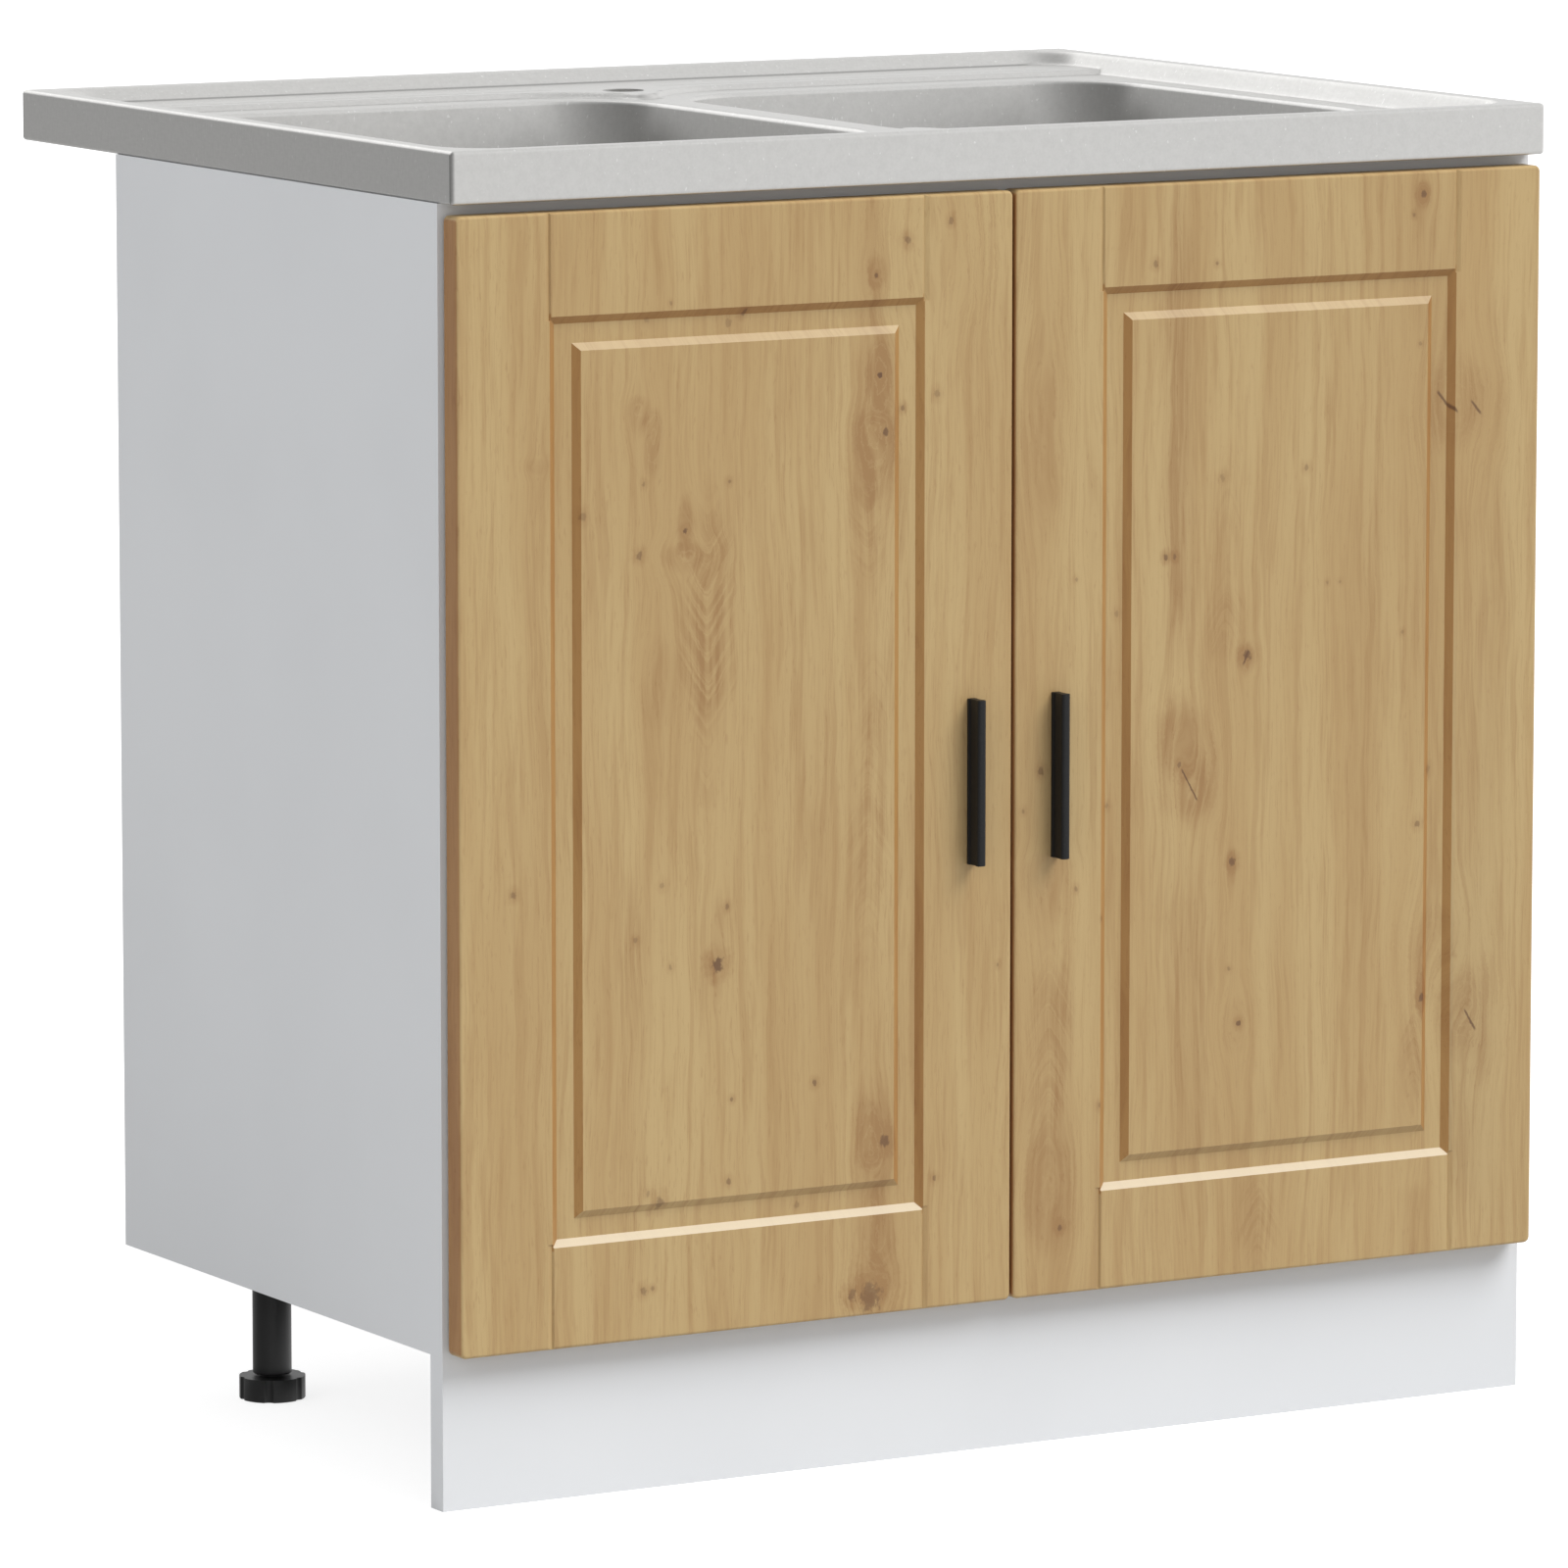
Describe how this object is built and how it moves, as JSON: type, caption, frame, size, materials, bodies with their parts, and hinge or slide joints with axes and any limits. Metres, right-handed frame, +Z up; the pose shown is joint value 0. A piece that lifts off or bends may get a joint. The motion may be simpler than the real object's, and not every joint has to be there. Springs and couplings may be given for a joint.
{
  "type": "sink base cabinet",
  "caption": "Double-bowl lay-on sink on a white base cabinet with oak panel doors, black bar handles, a plinth and adjustable legs.",
  "frame": {"origin": "on the floor, under the middle of the overall box: midway across the width, and midway between the front of the handles and the back edge of the sink", "axes": "+Z up, +X towards the right-hand door as seen from the front, +Y towards the back"},
  "size_m": [0.8, 0.614, 0.846],
  "materials": {
    "white_board": "white melamine-faced chipboard with matching edge band, satin",
    "oak_door": "light oak grain foil on a routed board, satin",
    "sink_steel": "stainless steel sheet with a fine satin, linen-like texture",
    "black_handle": "matt black powder coat",
    "black_plastic": "black moulded plastic",
    "hinge_steel": "nickel-plated pressed steel",
    "zinc_fitting": "bare zinc alloy",
    "plated_screw": "zinc-plated steel",
    "galvanised_clip": "galvanised sheet steel",
    "beech_dowel": "plain beech"
  },
  "bodies": {
    "carcass": {"left_side_panel": "white_board", "right_side_panel": "white_board", "bottom_panel": "white_board", "front_top_rail": "white_board", "upper_back_rail": "white_board", "lower_back_rail": "white_board", "plinth_board": "white_board", "sink_deck": "sink_steel", "left_bowl": "sink_steel", "right_bowl": "sink_steel", "plinth_clips": "black_plastic", "front_left_leg_socket": "black_plastic", "front_left_leg_tube": "black_plastic", "front_right_leg_socket": "black_plastic", "front_right_leg_tube": "black_plastic", "rear_left_leg_socket": "black_plastic", "rear_left_leg_tube": "black_plastic", "rear_right_leg_socket": "black_plastic", "rear_right_leg_tube": "black_plastic", "left_upper_hinge_arm": "hinge_steel", "left_upper_hinge_plate": "hinge_steel", "left_lower_hinge_arm": "hinge_steel", "left_lower_hinge_plate": "hinge_steel", "right_upper_hinge_arm": "hinge_steel", "right_upper_hinge_plate": "hinge_steel", "right_lower_hinge_arm": "hinge_steel", "right_lower_hinge_plate": "hinge_steel", "cam_locks": "zinc_fitting", "cam_bolts": "zinc_fitting", "plinth_clip_screws": "plated_screw", "leg_socket_screws": "plated_screw", "hinge_plate_screws": "plated_screw", "hinge_adjusting_screws": "plated_screw", "sink_clip_screws": "plated_screw", "sink_clips": "galvanised_clip", "dowels": "beech_dowel"},
    "left_leaf": {"left_door": "oak_door", "left_handle": "black_handle", "left_upper_hinge_cup": "hinge_steel", "left_lower_hinge_cup": "hinge_steel", "left_handle_screws": "plated_screw", "left_hinge_cup_screws": "plated_screw"},
    "right_leaf": {"right_door": "oak_door", "right_handle": "black_handle", "right_upper_hinge_cup": "hinge_steel", "right_lower_hinge_cup": "hinge_steel", "right_handle_screws": "plated_screw", "right_hinge_cup_screws": "plated_screw"},
    "left_hinge_links": {"left_upper_hinge_link": "hinge_steel", "left_lower_hinge_link": "hinge_steel"},
    "right_hinge_links": {"right_upper_hinge_link": "hinge_steel", "right_lower_hinge_link": "hinge_steel"},
    "front_left_foot": {"front_left_leg_foot": "black_plastic"},
    "front_right_foot": {"front_right_leg_foot": "black_plastic"},
    "rear_left_foot": {"rear_left_leg_foot": "black_plastic"},
    "rear_right_foot": {"rear_right_leg_foot": "black_plastic"}
  },
  "joints": [
    {"name": "left_door_hinge", "type": "hinge", "parent": "carcass", "child": "left_leaf", "pos_m": [-0.39, -0.2845, 0.4525], "axis": [0, 0, -1], "range_deg": [0, 100]},
    {"name": "left_link_hinge", "type": "hinge", "parent": "carcass", "child": "left_hinge_links", "pos_m": [-0.3777, -0.2845, 0.4525], "axis": [0, 0, -1], "range_deg": [-31, 1]},
    {"name": "right_door_hinge", "type": "hinge", "parent": "carcass", "child": "right_leaf", "pos_m": [0.39, -0.2845, 0.4525], "axis": [0, 0, 1], "range_deg": [0, 100]},
    {"name": "right_link_hinge", "type": "hinge", "parent": "carcass", "child": "right_hinge_links", "pos_m": [0.3777, -0.2845, 0.4525], "axis": [0, 0, 1], "range_deg": [-31, 1]},
    {"name": "front_left_foot_adjust", "type": "slide", "parent": "carcass", "child": "front_left_foot", "axis": [0, 0, 1], "range_m": [-0.02, 0.0012]},
    {"name": "front_right_foot_adjust", "type": "slide", "parent": "carcass", "child": "front_right_foot", "axis": [0, 0, 1], "range_m": [-0.02, 0.0012]},
    {"name": "rear_left_foot_adjust", "type": "slide", "parent": "carcass", "child": "rear_left_foot", "axis": [0, 0, 1], "range_m": [-0.02, 0.0012]},
    {"name": "rear_right_foot_adjust", "type": "slide", "parent": "carcass", "child": "rear_right_foot", "axis": [0, 0, 1], "range_m": [-0.02, 0.0012]}
  ],
  "couplings": [
    {"joint": "left_link_hinge", "follows": "left_door_hinge", "ratio": -0.3},
    {"joint": "right_link_hinge", "follows": "right_door_hinge", "ratio": -0.3}
  ]
}
